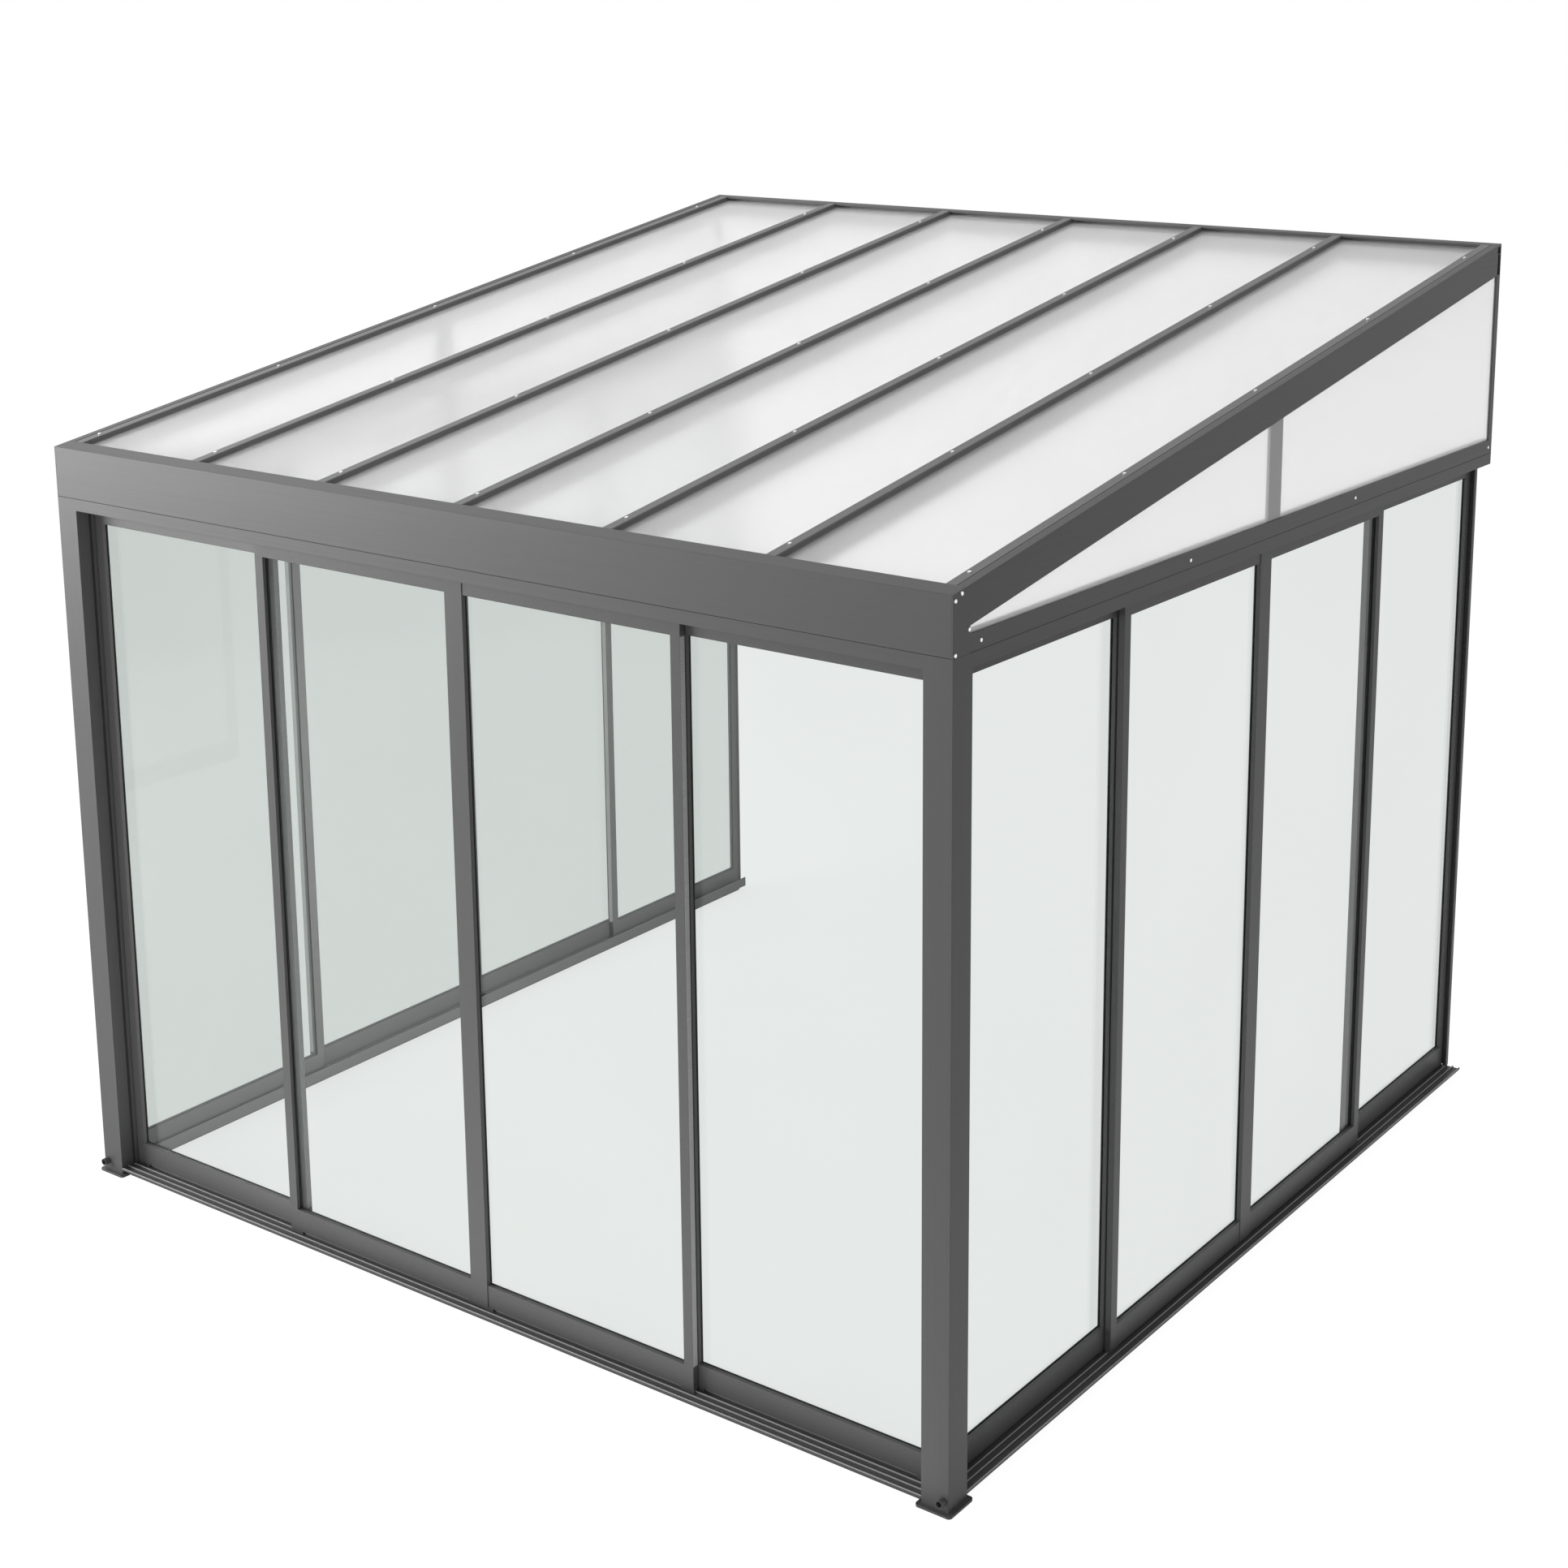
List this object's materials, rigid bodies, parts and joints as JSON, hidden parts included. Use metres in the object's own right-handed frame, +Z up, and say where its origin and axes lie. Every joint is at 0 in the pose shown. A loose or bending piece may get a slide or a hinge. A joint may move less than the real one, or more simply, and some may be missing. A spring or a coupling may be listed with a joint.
{
  "type": "lean-to conservatory",
  "caption": "Lean-to conservatory with a dark grey aluminium frame, frosted sloping roof and glazed sliding doors on its front and sides, fixed to a house wall.",
  "frame": {"origin": "middle of the bounding box, on the floor", "axes": "+X to the right along the house wall seen from the front, +Y from the front to the house wall, +Z up"},
  "size_m": [3.084, 3, 2.7144],
  "materials": {
    "dark_grey_aluminium": "satin powder coat",
    "frosted_sheet": "frosted",
    "clear_glass": "clear",
    "black_nylon": "matt",
    "zinc_steel": "zinc plated",
    "brush_pile": "matt pile"
  },
  "bodies": {
    "frame": {"left_post": "dark_grey_aluminium", "right_post": "dark_grey_aluminium", "base_plates": "dark_grey_aluminium", "drain_spouts": "black_nylon", "gutter": "dark_grey_aluminium", "gutter_end_caps": "dark_grey_aluminium", "gutter_outlets": "black_nylon", "wall_beam": "dark_grey_aluminium", "end_rafters": "dark_grey_aluminium", "inner_rafters": "dark_grey_aluminium", "rafter_caps": "dark_grey_aluminium", "roof_panels": "frosted_sheet", "roof_screws": "zinc_steel", "side_beams": "dark_grey_aluminium", "frame_screws": "zinc_steel", "gable_panels": "frosted_sheet", "gable_uprights": "dark_grey_aluminium", "front_head_track": "dark_grey_aluminium", "front_sill": "dark_grey_aluminium", "side_head_tracks": "dark_grey_aluminium", "side_sills": "dark_grey_aluminium", "wall_jambs": "dark_grey_aluminium", "post_jambs": "dark_grey_aluminium", "brush_seals": "brush_pile"},
    "front_door_1": {"front_door_1_frame": "dark_grey_aluminium", "front_door_1_glass": "clear_glass", "front_door_1_end_blocks": "black_nylon"},
    "front_door_2": {"front_door_2_frame": "dark_grey_aluminium", "front_door_2_glass": "clear_glass", "front_door_2_end_blocks": "black_nylon"},
    "front_door_3": {"front_door_3_frame": "dark_grey_aluminium", "front_door_3_glass": "clear_glass", "front_door_3_end_blocks": "black_nylon"},
    "front_door_4": {"front_door_4_frame": "dark_grey_aluminium", "front_door_4_glass": "clear_glass", "front_door_4_end_blocks": "black_nylon"},
    "left_door_1": {"left_door_1_frame": "dark_grey_aluminium", "left_door_1_glass": "clear_glass", "left_door_1_end_blocks": "black_nylon"},
    "left_door_2": {"left_door_2_frame": "dark_grey_aluminium", "left_door_2_glass": "clear_glass", "left_door_2_end_blocks": "black_nylon"},
    "left_door_3": {"left_door_3_frame": "dark_grey_aluminium", "left_door_3_glass": "clear_glass", "left_door_3_end_blocks": "black_nylon"},
    "left_door_4": {"left_door_4_frame": "dark_grey_aluminium", "left_door_4_glass": "clear_glass", "left_door_4_end_blocks": "black_nylon"},
    "right_door_1": {"right_door_1_frame": "dark_grey_aluminium", "right_door_1_glass": "clear_glass", "right_door_1_end_blocks": "black_nylon"},
    "right_door_2": {"right_door_2_frame": "dark_grey_aluminium", "right_door_2_glass": "clear_glass", "right_door_2_end_blocks": "black_nylon"},
    "right_door_3": {"right_door_3_frame": "dark_grey_aluminium", "right_door_3_glass": "clear_glass", "right_door_3_end_blocks": "black_nylon"},
    "right_door_4": {"right_door_4_frame": "dark_grey_aluminium", "right_door_4_glass": "clear_glass", "right_door_4_end_blocks": "black_nylon"}
  },
  "joints": [
    {"name": "front_door_1_slide", "type": "slide", "parent": "frame", "child": "front_door_1", "axis": [1, 0, 0], "range_m": [0, 0.702]},
    {"name": "front_door_2_slide", "type": "slide", "parent": "frame", "child": "front_door_2", "axis": [1, 0, 0], "range_m": [-0.693, 0]},
    {"name": "front_door_3_slide", "type": "slide", "parent": "frame", "child": "front_door_3", "axis": [1, 0, 0], "range_m": [0, 0.711]},
    {"name": "front_door_4_slide", "type": "slide", "parent": "frame", "child": "front_door_4", "axis": [1, 0, 0], "range_m": [-0.702, 0]},
    {"name": "left_door_1_slide", "type": "slide", "parent": "frame", "child": "left_door_1", "axis": [0, 1, 0], "range_m": [0, 0.702]},
    {"name": "left_door_2_slide", "type": "slide", "parent": "frame", "child": "left_door_2", "axis": [0, 1, 0], "range_m": [-0.713, 0]},
    {"name": "left_door_3_slide", "type": "slide", "parent": "frame", "child": "left_door_3", "axis": [0, 1, 0], "range_m": [0, 0.681]},
    {"name": "left_door_4_slide", "type": "slide", "parent": "frame", "child": "left_door_4", "axis": [0, 1, 0], "range_m": [-0.702, 0]},
    {"name": "right_door_1_slide", "type": "slide", "parent": "frame", "child": "right_door_1", "axis": [0, 1, 0], "range_m": [0, 0.702]},
    {"name": "right_door_2_slide", "type": "slide", "parent": "frame", "child": "right_door_2", "axis": [0, 1, 0], "range_m": [-0.713, 0]},
    {"name": "right_door_3_slide", "type": "slide", "parent": "frame", "child": "right_door_3", "axis": [0, 1, 0], "range_m": [0, 0.681]},
    {"name": "right_door_4_slide", "type": "slide", "parent": "frame", "child": "right_door_4", "axis": [0, 1, 0], "range_m": [-0.702, 0]}
  ]
}
